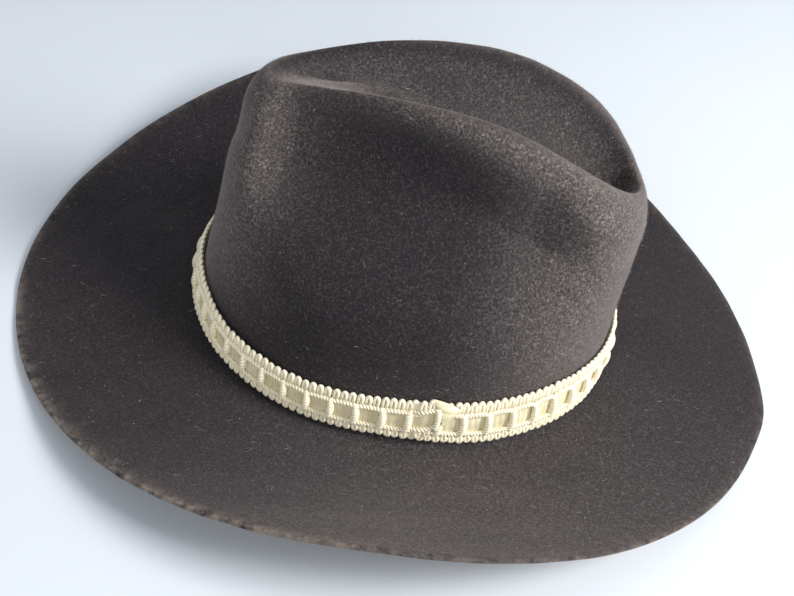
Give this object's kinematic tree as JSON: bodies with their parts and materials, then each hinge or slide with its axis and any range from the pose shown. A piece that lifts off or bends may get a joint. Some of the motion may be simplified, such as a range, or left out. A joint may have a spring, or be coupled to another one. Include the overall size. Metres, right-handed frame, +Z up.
{
  "type": "cowboy hat",
  "caption": "Black felt western hat: pinch-front dished crown, rolled brim, ivory gimp-braid hatband, leather sweatband and satin lining.",
  "frame": {"origin": "under the middle of the brim, on the flat surface that the hat rests on", "axes": "+Z up out of the crown, -Y towards the front of the hat, +X towards the wearer's left"},
  "size_m": [0.3504, 0.381, 0.1464],
  "materials": {
    "black_felt": "brushed fur felt, matt with a soft nap",
    "ivory_tape": "woven cotton tape, matt",
    "satin_ribbon": "satin ribbon, soft sheen",
    "ivory_cord": "twisted rayon cord, silky",
    "sweatband_leather": "smooth roan leather, semi-matt",
    "reed_plastic": "extruded plastic reed",
    "black_tape": "black cotton tape",
    "thread": "waxed thread",
    "lining_satin": "rayon satin lining",
    "paper_tag": "blank card"
  },
  "bodies": {
    "hat": {"felt_body": "black_felt", "sweatband": "sweatband_leather", "sweatband_reed": "reed_plastic", "reed_tape": "black_tape", "sweatband_stitching": "thread", "size_tag": "paper_tag", "sweatband_back_tape": "sweatband_leather", "sweatband_bow": "black_tape", "lining_side": "lining_satin", "lining_tip": "lining_satin", "lining_piping": "lining_satin"},
    "hatband": {"band_backing": "ivory_tape", "band_ribbon": "satin_ribbon", "band_rope_lower": "ivory_cord", "band_rope_upper": "ivory_cord", "band_picot_lower": "ivory_cord", "band_picot_upper": "ivory_cord", "band_crossbars": "ivory_cord", "band_lapped_end": "ivory_cord", "band_folded_tail": "satin_ribbon", "band_join_stitches": "thread"}
  },
  "joints": [
    {"name": "hatband_lift", "type": "slide", "parent": "hat", "child": "hatband", "axis": [0, 0, 1], "range_m": [0, 0.14]}
  ]
}
